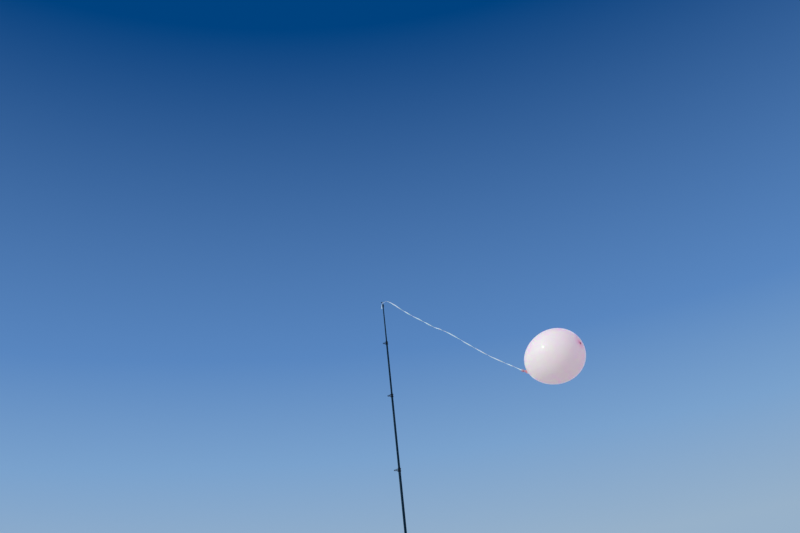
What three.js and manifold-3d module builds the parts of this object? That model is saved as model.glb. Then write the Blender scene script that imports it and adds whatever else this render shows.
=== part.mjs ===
// A latex party balloon on a flat ribbon, tied to the tip ring of a telescopic rod with line guides.
// Millimetres, +Z up. The rod stands on the Z axis with its butt end at the origin, drawn out to its full
// length. Its guides and reel seat face -X, and the wind carries the balloon off towards +X.

import * as THREE from "three";
import { mergeVertices } from "three/addons/utils/BufferGeometryUtils.js";
import Module from "manifold-3d";

const wasm = await Module();
wasm.setup();

// Driving dimensions of the rod
const slideGap = 0.25; // between a section's foot and the bore it slides in
const seatGap = 0.3; // between a piece and what it is pressed, clipped or bonded on
const footOverlap = 50; // how much of a drawn-out section stays in the one below
const tipBlank = { top: 2255, diameter: 5.4, taper: 2.3 };
const tubeSides = 20;

// Each section's mouth above the butt end, its tube's wall and how much its diameter grows from mouth to
// foot, and the guide at its mouth: the bore of its ring, and how far the ring's band stands off the collar.
const sections = [
  { name: "section_5", mouth: 2030, wall: 0.4, taper: 0.4, bore: 8, standOff: 2.5 },
  { name: "section_4", mouth: 1730, wall: 0.4, taper: 0.4, bore: 10, standOff: 2.4 },
  { name: "section_3", mouth: 1336, wall: 0.4, taper: 0.4, bore: 13, standOff: 2.2 },
  { name: "section_2", mouth: 926, wall: 0.4, taper: 0.4, bore: 17, standOff: 2 },
  { name: "butt", mouth: 526, wall: 0.7, taper: 0, bore: 22, standOff: 2 },
];
const buttFoot = 14; // height of the butt tube's lower end, in its cap

// Driving dimensions of a guide
const collarHeight = 16; // flush with its tube's mouth
const collarWall = 1;
const edgeEase = 0.4; // chamfer of the collar's and the ring's edges
const ringWall = 1.1; // of the ceramic ring, bore to rim
const ringHeight = 2.4;
const bandWall = 0.8; // of the metal band that holds the ring
const clipWall = 0.9; // of the frame's two clips round the collar
const clipHeight = 2.4;
const clipInset = 0.6; // from the collar's ends
const legDiameter = 1.4;
const legSides = 6;
const legSink = 0.25; // how deep a leg's ends run into the clip and the band
const legRootAngle = 52; // degrees round the clip, from the ring's side
const legEndAngle = 69; // degrees round the band, from the rod's side

// Driving dimensions of the handle, as heights above the butt end
const capTop = 34;
const rearGripTop = 184;
const rearTrimTop = 190;
const seatTop = 332;
const foreGripTop = 440;
const frontTrimTop = 448;
const rearTrimRadius = 12.6;
const rearTrimEase = 0.8;
const handleSides = 28;

// Outlines of the handle's turned pieces: [radius, height] up the outside
const capOutline = [[13, 0], [15, 3], [15, 26], [14, capTop]];
const rearGripOutline = [
  [13.4, capTop + seatGap], [13.4, 60], [12.4, 110], [13.2, 165], [12.4, rearGripTop],
];
const foreGripOutline = [[13, seatTop + seatGap], [13.4, 356], [12.2, 395], [10.4, foreGripTop]];
const frontTrimOutline = [[10.6, foreGripTop + seatGap], [10.6, 443], [9.6, frontTrimTop]];

// Driving dimensions of the reel seat
const seatRadius = 10;
const padHalfWidth = 7;
const padRootX = -7; // where the pad and the hoods run into the round body
const padX = -12; // floor under the hoods
const cushionX = -12.4; // face the reel's foot rests on
const cushionInset = 2; // from each hood's mouth
const pocketX = -17.5; // roof of the hoods' pockets
const pocketDepth = 14;
const hoodX = -20;
const hoodHalfWidth = 9.6;
const hoodChamfer = 2.2;
const hoodRingWall = 2.4;
const fixedHood = { mouth: 226, back: 204, ringLow: 196, ringHigh: 218 };
const slidingHood = { mouth: 292, back: 312, ringLow: 300, ringHigh: 315 };
const lockNut = { top: 329, radius: 13.6, ease: 1 };

// Driving dimensions of the tip-top
const tipCollar = { low: 2240, high: 2258, wall: 0.8, ease: 0.6 };
const tipRing = { x: -3, z: 2268, bore: 8 };
const tipBandWall = 0.7;
const tipClip = { low: 2246, high: 2249 };
const tipArmBow = { x: -1.5, y: 5.9, z: 2258 }; // where an arm bows out past the collar
const tipArmSteps = 4;

// Driving dimensions of the balloon, along its own axis from its middle to the crown
const balloonMiddle = [852.3, -90, 1806];
const crownAzimuth = -32.75; // degrees from +X towards +Y
const crownElevation = 5; // degrees above level
const balloonRadius = 141.5;
const balloonHalfLength = 162.1;
const pear = 0.058; // how much fuller the crown half is than the neck half
const balloonRings = 22;
const balloonSides = 36;

// Driving dimensions of the neck, which leaves the skin a little below the pole, along the ribbon's pull
const neckRoot = [716.5, -8.2, 1774.7];
const neckAzimuth = 172;
const neckElevation = 19;
const neckRadius = 4.5; // under the ribbon's turn
const neckSides = 16;

// Outlines of the neck's pieces: [radius, distance from the balloon's skin] away from the balloon
const funnelOutline = [[13, -16], [13, 0], [9.5, 6], [6.5, 11.5], [neckRadius, 15], [neckRadius, 19]];
const knotOutline = [[4.6, 19.3], [6.4, 22], [6.4, 24.5], [4.6, 27]];
const lipOutline = [[3.4, 27.3], [4, 30], [5.6, 32.4], [5.6, 33.6], [4.6, 34.2]];
const lipHollow = 32; // bottom of the dish inside the rolled lip
const neckTurn = { low: 15.3, high: 19, wall: 2 }; // the ribbon's turn round the neck

// Driving dimensions of the ribbon
const ribbonWidth = 5;
const ribbonSteps = 80;
const tailWidth = 3;
const tailSteps = 14;
const ribbonSides = 8;
const knotSides = 12;
const knotBands = 8;
const neckKnotRadius = 4;
const tipLoop = { inner: 2, outer: 2.9, halfWidth: 1.2 }; // its turn through the tip ring
const tipKnot = { radius: 2.6, out: 2, up: 1 }; // from the loop's outer side

// The ribbon's route from the knot at the tip to the knot at the balloon's neck, waved by the wind.
const ribbonRoute = [
  [9.35, 0, 2270.65],
  [18, 0, 2274],
  [27, 0, 2272.6],
  [37, 0, 2266.4],
  [57.7, 0, 2250.3],
  [98, 0, 2212.3],
  [138.5, 0, 2180],
  [179, 0, 2149],
  [219, 0, 2119],
  [259.5, 0, 2090],
  [299.5, 0, 2066.5],
  [339.5, 0, 2040.3],
  [379, 0, 2010.3],
  [417.5, 0, 1977.5],
  [456, 0, 1945.5],
  [494.5, 0, 1916],
  [533, 0, 1887.5],
  [571, -0.5, 1861],
  [609.5, -1.5, 1835.5],
  [648, -5, 1812],
  [666.2, -8.5, 1798.1],
  [684.5, -12.5, 1784.1],
  [695, -14, 1781.7],
];

// The short end left over at the tip's knot.
const tailRoute = [
  [5.45, -2.25, 2267.95],
  [0.5, -8, 2262.5],
  [-5, -11, 2252],
  [-7.5, -12, 2238],
  [-8, -11.5, 2224],
];

// A closed mesh as a solid that can be joined and cut.
function solid(geometry) {
  const bare = geometry.clone();
  bare.deleteAttribute("normal");
  bare.deleteAttribute("uv");
  const merged = mergeVertices(bare, 1e-4);
  return new wasm.Manifold(
    new wasm.Mesh({
      numProp: 3,
      vertProperties: merged.attributes.position.array,
      triVerts: new Uint32Array(merged.index.array),
    })
  );
}

// A solid back as a geometry.
function geometryOf(shape) {
  const mesh = shape.getMesh();
  const geometry = new THREE.BufferGeometry();
  geometry.setAttribute("position", new THREE.BufferAttribute(mesh.vertProperties, 3));
  geometry.setIndex(new THREE.BufferAttribute(mesh.triVerts, 1));
  geometry.computeVertexNormals();
  return geometry;
}

const join = (...shapes) => shapes.reduce((a, b) => a.add(b));

// A shape turned about +Z from [radius, height] pairs, which run up the outside.
function turned(profile, sides = tubeSides) {
  const points = profile.map(([r, z]) => new THREE.Vector2(r, z));
  return new THREE.LatheGeometry(points, sides).rotateX(Math.PI / 2);
}

// A turned solid with nothing inside, from the outline of its outside.
function turnedSolid(outline, sides) {
  return turned([[0, outline[0][1]], ...outline, [0, outline.at(-1)[1]]], sides);
}

// A sleeve: a wall between two heights, with its outer edges eased by a chamfer. Each of its two sides is a
// radius, or a pair of radii at its low and high ends.
function sleeve(inner, outer, low, high, ease = 0, sides = tubeSides) {
  const ends = (radius) => (Array.isArray(radius) ? radius : [radius, radius]);
  const [innerLow, innerHigh] = ends(inner);
  const [outerLow, outerHigh] = ends(outer);
  const profile = [[innerLow, low], [outerLow - ease, low]];
  if (ease > 0) profile.push([outerLow, low + ease], [outerHigh, high - ease]);
  profile.push([outerHigh - ease, high], [innerHigh, high], [innerLow, low]);
  return turned(profile, sides);
}

// A round bar along a smooth curve through points.
function bar(points, diameter, steps, sides) {
  const curve = new THREE.CatmullRomCurve3(points.map((p) => new THREE.Vector3(...p)));
  const section = new THREE.Shape();
  for (let i = 0; i < sides; i++) {
    const angle = (2 * Math.PI * i) / sides;
    const at = [(diameter / 2) * Math.cos(angle), (diameter / 2) * Math.sin(angle)];
    if (i === 0) section.moveTo(...at);
    else section.lineTo(...at);
  }
  section.closePath();
  return new THREE.ExtrudeGeometry(section, { steps, extrudePath: curve, bevelEnabled: false });
}

// A block between two corners.
function block(low, high) {
  const size = high.map((v, i) => v - low[i]);
  return new THREE.BoxGeometry(...size).translate(...low.map((v, i) => v + size[i] / 2));
}

// A post parallel to Z, for cutting a round hole that is clear of both heights.
function holeCutter(radius, low, high, x = 0, sides = tubeSides) {
  const past = 1;
  const outline = [[radius, low - past], [radius, high + past]];
  return solid(turnedSolid(outline, sides).translate(x, 0, 0));
}

// A direction from its azimuth and elevation in degrees.
function direction(azimuth, elevation) {
  const [turn, rise] = [azimuth, elevation].map(THREE.MathUtils.degToRad);
  return new THREE.Vector3(Math.cos(rise) * Math.cos(turn), Math.cos(rise) * Math.sin(turn), Math.sin(rise));
}

const object = new THREE.Group();

function add(name, geometry, material, group = object) {
  const mesh = new THREE.Mesh(geometry, new THREE.MeshStandardMaterial(material));
  mesh.name = name;
  group.add(mesh);
}

const blank = { color: 0x0d1512, roughness: 0.25, metalness: 0 };
const collarPlastic = { color: 0x101413, roughness: 0.4, metalness: 0 };
const steel = { color: 0xb9bcc0, roughness: 0.25, metalness: 1 };
const platedSteel = { color: 0x25282b, roughness: 0.3, metalness: 1 };
const ceramic = { color: 0x23262b, roughness: 0.2, metalness: 0 };
const foam = { color: 0x17181a, roughness: 0.95, metalness: 0 };
const rubber = { color: 0x0e0f10, roughness: 0.8, metalness: 0 };
const seatPlastic = { color: 0x191b1d, roughness: 0.45, metalness: 0 };
const ribbonFilm = { color: 0xe9e6ea, roughness: 0.35, metalness: 0 };
const latex = { color: 0xe8cfd8, roughness: 0.35, metalness: 0 };
const drawnLatex = { color: 0xd9756f, roughness: 0.4, metalness: 0 };

// Guide: a collar at the tube's mouth, a steel frame clipped round it, and a ceramic ring in its band.
function addGuide({ name, mouth, bore, standOff }, mouthRadius) {
  const low = mouth - collarHeight;
  const middle = mouth - collarHeight / 2;
  const collarInner = mouthRadius + seatGap;
  const collarOuter = collarInner + collarWall;
  add(`${name}_guide_collar`, sleeve(collarInner, collarOuter, low, mouth, edgeEase), collarPlastic);

  const ringRadius = bore / 2 + ringWall;
  const bandInner = ringRadius + seatGap;
  const bandOuter = bandInner + bandWall;
  const ringX = -(collarOuter + standOff + bandOuter);
  const [ringLow, ringHigh] = [middle - ringHeight / 2, middle + ringHeight / 2];
  const ring = sleeve(bore / 2, ringRadius, ringLow, ringHigh, edgeEase).translate(ringX, 0, 0);
  add(`${name}_guide_ring`, ring, ceramic);

  const clipInner = collarOuter + seatGap;
  const clipOuter = clipInner + clipWall;
  const clips = [low + clipInset, mouth - clipInset - clipHeight].map((z) =>
    solid(sleeve(clipInner, clipOuter, z, z + clipHeight))
  );
  const band = solid(sleeve(bandInner, bandOuter, ringLow, ringHigh).translate(ringX, 0, 0));
  const clipOffset = (collarHeight - clipHeight) / 2 - clipInset;
  const rootAngle = THREE.MathUtils.degToRad(legRootAngle);
  const endAngle = THREE.MathUtils.degToRad(legEndAngle);
  const legs = [];
  for (const up of [-1, 1]) {
    for (const side of [-1, 1]) {
      const rootRadius = clipOuter - legSink;
      const endRadius = bandOuter - legSink;
      const root = [
        -rootRadius * Math.cos(rootAngle),
        side * rootRadius * Math.sin(rootAngle),
        middle + up * clipOffset,
      ];
      const end = [ringX + endRadius * Math.cos(endAngle), side * endRadius * Math.sin(endAngle), middle];
      legs.push(solid(bar([root, end], legDiameter, 1, legSides)));
    }
  }
  const frame = join(...clips, band, ...legs)
    .subtract(holeCutter(clipInner, low, mouth))
    .subtract(holeCutter(bandInner, low, mouth, ringX));
  add(`${name}_guide_frame`, geometryOf(frame), platedSteel);
}

// Rod: the solid tip, then each tube sized so that the one above slides in it
const tipFoot = sections[0].mouth - footOverlap;
const tipFootRadius = (tipBlank.diameter + tipBlank.taper) / 2;
const tipOutline = [[tipFootRadius, tipFoot], [tipBlank.diameter / 2, tipBlank.top]];
add("tip_blank", turnedSolid(tipOutline, tubeSides), blank);

let radiusAbove = tipFootRadius;
for (const [i, section] of sections.entries()) {
  const { name, mouth, wall, taper } = section;
  const foot = i + 1 < sections.length ? sections[i + 1].mouth - footOverlap : buttFoot;
  const mouthRadius = radiusAbove + slideGap + wall;
  const footRadius = mouthRadius + taper / 2;
  const bore = [footRadius - wall, mouthRadius - wall];
  add(`${name}_tube`, sleeve(bore, [footRadius, mouthRadius], foot, mouth), blank);
  addGuide(section, mouthRadius);
  radiusAbove = footRadius;
}

// Handle: cap, grips and trim rings threaded on the butt's tube
const handleBore = radiusAbove + seatGap;
const threaded = (outline) => {
  const [low, high] = [outline[0][1], outline.at(-1)[1]];
  return turned([[handleBore, low], ...outline, [handleBore, high], [handleBore, low]], handleSides);
};
const capSocket = [[handleBore, capTop], [handleBore, buttFoot - seatGap], [0, buttFoot - seatGap]];
add("butt_cap", turned([[0, 0], ...capOutline, ...capSocket], handleSides), rubber);
add("rear_grip", threaded(rearGripOutline), foam);
const rearTrim = [rearGripTop + seatGap, rearTrimTop, rearTrimEase];
add("rear_trim_ring", sleeve(handleBore, rearTrimRadius, ...rearTrim, handleSides), steel);
add("fore_grip", threaded(foreGripOutline), foam);
add("front_trim_ring", threaded(frontTrimOutline), steel);

// Reel seat: a round body with a flat pad, and on it a raised cushion that the reel's foot rests on
const seatLow = rearTrimTop + seatGap;
const padLow = fixedHood.mouth - pocketDepth;
const padHigh = slidingHood.mouth + pocketDepth;
const cushionLow = fixedHood.mouth + cushionInset;
const cushionHigh = slidingHood.mouth - cushionInset;
const seatBody = join(
  solid(sleeve(handleBore, seatRadius, seatLow, seatTop, 0, handleSides)),
  solid(block([padX, -padHalfWidth, padLow], [padRootX, padHalfWidth, padHigh])),
  solid(block([cushionX, -padHalfWidth, cushionLow], [padRootX, padHalfWidth, cushionHigh]))
).subtract(holeCutter(handleBore, seatLow, seatTop, 0, handleSides));
add("reel_seat_body", geometryOf(seatBody), seatPlastic);

// Hood: a clip round the seat with a roofed pocket that faces the other hood
const hoodBore = seatRadius + seatGap;
function hood({ mouth, back, ringLow, ringHigh }) {
  const facesUp = mouth > back;
  const [low, high] = facesUp ? [back, mouth] : [mouth, back];
  const past = 1; // how far the pocket's cutter runs out of the mouth
  const [pocketLow, pocketHigh] = facesUp
    ? [mouth - pocketDepth, mouth + past]
    : [mouth - past, mouth + pocketDepth];
  const outside = join(
    solid(sleeve(hoodBore, hoodBore + hoodRingWall, ringLow, ringHigh, 0, handleSides)),
    solid(block([hoodX, -hoodHalfWidth, low], [padRootX, hoodHalfWidth, high]))
  );
  const pocketHalfWidth = padHalfWidth + seatGap;
  const pocket = block([pocketX, -pocketHalfWidth, pocketLow], [0, pocketHalfWidth, pocketHigh]);
  const corners = [-1, 1].map((side) =>
    solid(
      block([-hoodChamfer, -hoodChamfer, low - past], [hoodChamfer, hoodChamfer, high + past])
        .rotateZ(Math.PI / 4)
        .translate(hoodX, side * hoodHalfWidth, 0)
    )
  );
  return outside
    .subtract(holeCutter(hoodBore, Math.min(low, ringLow), Math.max(high, ringHigh), 0, handleSides))
    .subtract(solid(pocket))
    .subtract(join(...corners));
}
add("reel_seat_fixed_hood", geometryOf(hood(fixedHood)), seatPlastic);
add("reel_seat_sliding_hood", geometryOf(hood(slidingHood)), seatPlastic);
const nutSpan = [slidingHood.ringHigh + seatGap, lockNut.top, lockNut.ease];
add("reel_seat_lock_nut", sleeve(hoodBore, lockNut.radius, ...nutSpan, handleSides), seatPlastic);

// Tip-top: a metal cup over the blank's end, two arms and a band that hold the tip ring
const blankSlope = tipBlank.taper / 2 / (tipBlank.top - tipFoot);
const blankRadiusAtCollar = tipBlank.diameter / 2 + blankSlope * (tipBlank.top - tipCollar.low);
const tipCollarInner = blankRadiusAtCollar + seatGap;
const tipCollarOuter = tipCollarInner + tipCollar.wall;
const cupOutline = [
  [tipCollarOuter, tipCollar.low],
  [tipCollarOuter, tipCollar.high - tipCollar.ease],
  [tipCollarOuter - tipCollar.ease, tipCollar.high],
];
const cupInside = [[0, tipBlank.top + seatGap], [tipCollarInner, tipBlank.top + seatGap]];
const cupFoot = [tipCollarInner, tipCollar.low];
const cup = turned([cupFoot, ...cupOutline, [0, tipCollar.high], ...cupInside, cupFoot]);
add("tip_top_collar", cup, platedSteel);

const tipRingRadius = tipRing.bore / 2 + ringWall;
const tipBandInner = tipRingRadius + seatGap;
const tipBandOuter = tipBandInner + tipBandWall;
const tipRingLow = tipRing.z - ringHeight / 2;
const tipRingHigh = tipRing.z + ringHeight / 2;
const tipRingSleeve = sleeve(tipRing.bore / 2, tipRingRadius, tipRingLow, tipRingHigh, edgeEase);
add("tip_top_ring", tipRingSleeve.translate(tipRing.x, 0, 0), ceramic);

const tipClipInner = tipCollarOuter + seatGap;
const tipClipOuter = tipClipInner + clipWall;
const tipArms = [-1, 1].map((side) =>
  solid(bar([
    [0, side * (tipClipOuter - legSink), (tipClip.low + tipClip.high) / 2],
    [tipArmBow.x, side * tipArmBow.y, tipArmBow.z],
    [tipRing.x, side * (tipBandOuter - legSink), tipRing.z],
  ], legDiameter, tipArmSteps, legSides))
);
const tipFrame = join(
  solid(sleeve(tipClipInner, tipClipOuter, tipClip.low, tipClip.high)),
  solid(sleeve(tipBandInner, tipBandOuter, tipRingLow, tipRingHigh).translate(tipRing.x, 0, 0)),
  ...tipArms
)
  .subtract(holeCutter(tipClipInner, tipClip.low, tipClip.high))
  .subtract(holeCutter(tipBandInner, tipRingLow, tipRingHigh, tipRing.x));
add("tip_top_frame", geometryOf(tipFrame), platedSteel);

// Ribbon: a loop through the tip ring with its knot, the left-over end, and the long run to the balloon
const loopX = tipRing.x + (tipRing.bore / 2 + tipBandOuter) / 2; // middle of the ring and its band
const loop = sleeve(tipLoop.inner, tipLoop.outer, -tipLoop.halfWidth, tipLoop.halfWidth, 0, knotSides)
  .rotateX(Math.PI / 2)
  .translate(loopX, 0, tipRing.z);
const loopKnot = new THREE.SphereGeometry(tipKnot.radius, knotSides, knotBands)
  .translate(loopX + tipLoop.outer + tipKnot.out, 0, tipRing.z + tipKnot.up);
add("ribbon_tip_knot", geometryOf(join(solid(loop), solid(loopKnot))), ribbonFilm);
add("ribbon_tail", bar(tailRoute, tailWidth, tailSteps, ribbonSides), ribbonFilm);
add("ribbon", bar(ribbonRoute, ribbonWidth, ribbonSteps, ribbonSides), ribbonFilm);

// Balloon: turned on its own axis with the crown up, and laid over to where the wind holds it
const zAxis = new THREE.Vector3(0, 0, 1);
const crown = direction(crownAzimuth, crownElevation);
const balloon = new THREE.Group();
balloon.position.set(...balloonMiddle);
balloon.quaternion.setFromUnitVectors(zAxis, crown);
balloon.updateMatrixWorld();
object.add(balloon);

// Neck: its pieces are turned about its own axis, from its root in the balloon's skin outwards
const neck = new THREE.Group();
neck.position.set(...neckRoot);
neck.quaternion.setFromUnitVectors(zAxis, direction(neckAzimuth, neckElevation));
neck.updateMatrixWorld();
object.add(neck);

const skinOutline = [];
for (let i = 1; i < balloonRings; i++) {
  const angle = Math.PI * (1 - i / balloonRings);
  const radius = balloonRadius * Math.sin(angle) * (1 + pear * Math.cos(angle));
  skinOutline.push([radius, balloonHalfLength * Math.cos(angle)]);
}
const skin = turned([[0, -balloonHalfLength], ...skinOutline, [0, balloonHalfLength]], balloonSides);
const funnel = turnedSolid(funnelOutline, neckSides)
  .applyMatrix4(neck.matrixWorld)
  .applyMatrix4(balloon.matrixWorld.clone().invert());
add("balloon_envelope", geometryOf(join(solid(skin), solid(funnel))), latex, balloon);
add("balloon_knot", turnedSolid(knotOutline, neckSides), drawnLatex, neck);
const lipProfile = [[0, lipOutline[0][1]], ...lipOutline, [0, lipHollow]];
add("balloon_lip", turned(lipProfile, neckSides), drawnLatex, neck);

// The ribbon's other knot: a turn round the neck, with the knot where the ribbon comes in
const neckBore = neckRadius + seatGap;
const ribbonEnd = new THREE.Vector3(...ribbonRoute.at(-1));
const ribbonRun = ribbonEnd.clone().sub(new THREE.Vector3(...ribbonRoute.at(-2))).normalize();
const knotReach = neckKnotRadius + seatGap + 0.1; // from the ribbon's end to the middle of the knot
const knotMiddle = neck.worldToLocal(ribbonEnd.clone().addScaledVector(ribbonRun, knotReach));
const turn = sleeve(neckBore, neckBore + neckTurn.wall, neckTurn.low, neckTurn.high, 0, neckSides);
const neckKnot = new THREE.SphereGeometry(neckKnotRadius, knotSides, knotBands)
  .translate(...knotMiddle.toArray());
const [tieLow, tieHigh] = [neckTurn.low - neckKnotRadius, neckTurn.high + neckKnotRadius];
const neckHole = holeCutter(neckBore, tieLow, tieHigh, 0, neckSides);
add("ribbon_neck_knot", geometryOf(join(solid(turn), solid(neckKnot)).subtract(neckHole)), ribbonFilm, neck);

export default object;
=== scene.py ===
# A latex party balloon on a flat ribbon, tied to the tip ring of a telescopic rod with line guides.
# The rod stands on the Z axis with its butt end at the origin. Its guides and reel seat face -X, and the
# wind holds the balloon out towards +X. Metres, +Z up; outlines are in millimetres.

import math

import bmesh
import bpy
from mathutils import Matrix, Quaternion, Vector


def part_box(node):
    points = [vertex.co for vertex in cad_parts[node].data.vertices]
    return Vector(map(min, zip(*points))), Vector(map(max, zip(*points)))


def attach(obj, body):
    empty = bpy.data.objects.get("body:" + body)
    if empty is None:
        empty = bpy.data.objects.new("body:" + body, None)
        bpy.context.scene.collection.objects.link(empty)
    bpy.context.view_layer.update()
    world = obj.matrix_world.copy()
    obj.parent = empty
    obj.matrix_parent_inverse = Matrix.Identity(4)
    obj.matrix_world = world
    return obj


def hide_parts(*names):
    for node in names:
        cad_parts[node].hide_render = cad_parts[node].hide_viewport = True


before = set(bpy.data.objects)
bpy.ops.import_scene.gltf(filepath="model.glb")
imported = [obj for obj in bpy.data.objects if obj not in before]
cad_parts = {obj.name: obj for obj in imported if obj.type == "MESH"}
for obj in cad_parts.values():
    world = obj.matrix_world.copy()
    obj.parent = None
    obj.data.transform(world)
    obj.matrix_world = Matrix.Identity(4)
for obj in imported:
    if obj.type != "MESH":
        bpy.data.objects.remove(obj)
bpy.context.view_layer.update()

# Camera: just above the floor, where the photograph was taken from, looking up past the rod's tip. The
# frame is tilted a little, as the photograph is.
viewpoint = Vector((0, -4.2, 0.03))
camera_turn = 1.5893  # degrees from +Y towards +X
camera_rise = 30.303  # degrees above level
camera_roll = -6.4831

camera = bpy.data.objects.new("camera", bpy.data.cameras.new("camera"))
camera.data.lens = 39
camera.data.sensor_width = 36
camera.matrix_world = (
    Matrix.Translation(viewpoint)
    @ Matrix.Rotation(math.radians(-camera_turn), 4, "Z")
    @ Matrix.Rotation(math.radians(90 + camera_rise), 4, "X")
    @ Matrix.Rotation(math.radians(camera_roll), 4, "Z")
)
bpy.context.scene.collection.objects.link(camera)
bpy.context.scene.camera = camera

# Butt cap: black rubber, moulded in one piece with grip ribs and a ring groove in its flat end. It is
# pushed over the foot of the butt's tube.
mm = 0.001


def span(node):
    """The outer radius, low end and high end of a turned CAD node on the rod's axis, in millimetres."""
    low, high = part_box(node)
    return high.x / mm, low.z / mm, high.z / mm


def turned(outline, sides=64, centre=(0, 0)):
    """A shape turned about an upright axis, from (radius, height) pairs that close up or end on the axis."""
    bm = bmesh.new()
    rim = [bm.verts.new((radius * mm, 0, height * mm)) for radius, height in outline]
    pairs = zip(rim, rim[1:] + rim[:1])
    edges = [bm.edges.new((a, b)) for a, b in pairs if a.co.x > 0 or b.co.x > 0]
    bmesh.ops.spin(
        bm, geom=rim + edges, cent=(0, 0, 0), axis=(0, 0, 1), dvec=(0, 0, 0),
        angle=math.tau, steps=sides, use_merge=True,
    )
    bmesh.ops.remove_doubles(bm, verts=bm.verts, dist=0.001 * mm)
    bmesh.ops.recalc_face_normals(bm, faces=bm.faces)
    bmesh.ops.translate(bm, verts=bm.verts, vec=(centre[0] * mm, centre[1] * mm, 0))
    return bm


def eased(bm, width, segments=3):
    """Rounds the sharp edges of a shape."""
    sharp = math.radians(28)
    edges = [e for e in bm.edges if len(e.link_faces) == 2 and e.calc_face_angle() > sharp]
    bmesh.ops.bevel(
        bm, geom=edges, offset=width * mm, offset_type="OFFSET", segments=segments,
        profile=0.5, affect="EDGES", clamp_overlap=True, material=-1,
    )
    return bm


def merged(*shapes):
    """Several shapes as the shells of one mesh."""
    whole = bmesh.new()
    for bm in shapes:
        part = bpy.data.meshes.new("part")
        bm.to_mesh(part)
        bm.free()
        whole.from_mesh(part)
        bpy.data.meshes.remove(part)
    return whole


def piece(name, bm, material, body, slot, *stands_for):
    """A finished piece from a shape, on its body and in place of the CAD nodes that it stands for."""
    crease = math.radians(38)
    for edge in bm.edges:
        edge.smooth = len(edge.link_faces) == 2 and edge.calc_face_angle() < crease
    for face in bm.faces:
        face.smooth = True
    mesh = bpy.data.meshes.new(name)
    bm.to_mesh(mesh)
    bm.free()
    mesh.materials.append(material)
    made = bpy.data.objects.new(name, mesh)
    bpy.context.scene.collection.objects.link(made)
    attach(made, body)
    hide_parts(*stands_for)
    return made


def finish(name, colour, roughness, **sockets):
    """A material with its shader; what is the same all over the surface is set on the shader's sockets."""
    material = bpy.data.materials.new(name)
    material.use_nodes = True
    shader = material.node_tree.nodes["Principled BSDF"]
    shader.inputs["Base Color"].default_value = (*colour, 1)
    shader.inputs["Roughness"].default_value = roughness
    for socket, value in sockets.items():
        shader.inputs[socket.replace("_", " ")].default_value = value
    return material, shader


def node(material, kind, settings, inputs):
    """A shader node, with its settings, and its inputs linked or set."""
    made = material.node_tree.nodes.new("ShaderNode" + kind)
    for name, value in settings.items():
        setattr(made, name, value)
    for name, value in inputs.items():
        if isinstance(value, bpy.types.NodeSocket):
            material.node_tree.links.new(value, made.inputs[name])
        else:
            made.inputs[name].default_value = value
    return made


def place(material):
    """Where a point of the surface is on the object, in metres."""
    return node(material, "TexCoord", {}, {}).outputs["Object"]


def cloud(material, size, detail=3.0, stretch=(1, 1, 1)):
    """Cloudy noise from 0 to 1, whose patches are about that many millimetres across."""
    at = node(material, "Mapping", {}, {"Vector": place(material), "Scale": stretch})
    inputs = {"Vector": at.outputs["Vector"], "Scale": 1 / (size * mm), "Detail": detail}
    return node(material, "TexNoise", {}, inputs).outputs["Fac"]


def between(material, share, low, high, start=0.3, end=0.7):
    """A number that goes from low to high as share goes from start to end."""
    inputs = {"Value": share, "From Min": start, "From Max": end, "To Min": low, "To Max": high}
    return node(material, "MapRange", {}, inputs).outputs["Result"]


def mixed(material, share, first, second):
    """A colour between two others; each is a colour or a socket."""
    colours = [c if isinstance(c, bpy.types.NodeSocket) else (*c, 1) for c in (first, second)]
    made = node(material, "Mix", {"data_type": "RGBA"}, {0: share, 6: colours[0], 7: colours[1]})
    return made.outputs[2]


def raised(material, shader, *layers):
    """Relief on the surface: each layer is a height from 0 to 1 and its depth in millimetres."""
    normal = None
    for height, depth in layers:
        inputs = {"Height": height, "Distance": depth * mm, "Strength": 1.0}
        if normal:
            inputs["Normal"] = normal
        normal = node(material, "Bump", {}, inputs).outputs["Normal"]
    material.node_tree.links.new(normal, shader.inputs["Normal"])


def dress(material, shader, **sources):
    """Links what varies over the surface into the shader's sockets."""
    for socket, source in sources.items():
        material.node_tree.links.new(source, shader.inputs[socket.replace("_", " ")])


rubber, rubber_shader = finish("rubber", (0.012, 0.012, 0.013), 0.75)
rubber_dust = between(rubber, cloud(rubber, 9, 6), 0, 1, 0.45, 0.8)
dress(
    rubber, rubber_shader,
    Base_Color=mixed(rubber, rubber_dust, (0.011, 0.011, 0.012), (0.03, 0.029, 0.028)),
    Roughness=between(rubber, cloud(rubber, 4), 0.62, 0.86),
)
raised(rubber, rubber_shader, (cloud(rubber, 0.5, 2), 0.05))

cap_radius, cap_low, cap_top = span("butt_cap")
bore = 8.5  # inside radius of what is threaded on the butt's tube
cap_floor = cap_low + 13.7  # floor of the socket for the tube
groove_inner, groove_outer, groove_depth, groove_flank = 8.6, 10.4, 0.7, 0.4  # of the ring groove
cap_gaps = 5  # between the ribs
first_gap, rib_pitch, rib_depth, rib_gap, rib_flank = 6.5, 3.4, 0.9, 1.8, 0.5
cap_outline = [
    (0, cap_low), (groove_inner, cap_low), (groove_inner + groove_flank, cap_low + groove_depth),
    (groove_outer - groove_flank, cap_low + groove_depth), (groove_outer, cap_low),
    (cap_radius - 2, cap_low), (cap_radius - 0.2, cap_low + 2.6), (cap_radius, cap_low + 5),
]
for i in range(cap_gaps):
    foot = cap_low + first_gap + i * rib_pitch
    cap_outline += [
        (cap_radius, foot), (cap_radius - rib_depth, foot + rib_flank),
        (cap_radius - rib_depth, foot + rib_gap - rib_flank), (cap_radius, foot + rib_gap),
    ]
cap_outline += [(cap_radius, cap_top - 8), (cap_radius - 1, cap_top), (bore, cap_top), (bore, cap_floor)]
cap_outline += [(0, cap_floor)]
butt_cap = eased(turned(cap_outline), 0.3, segments=2)
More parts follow.
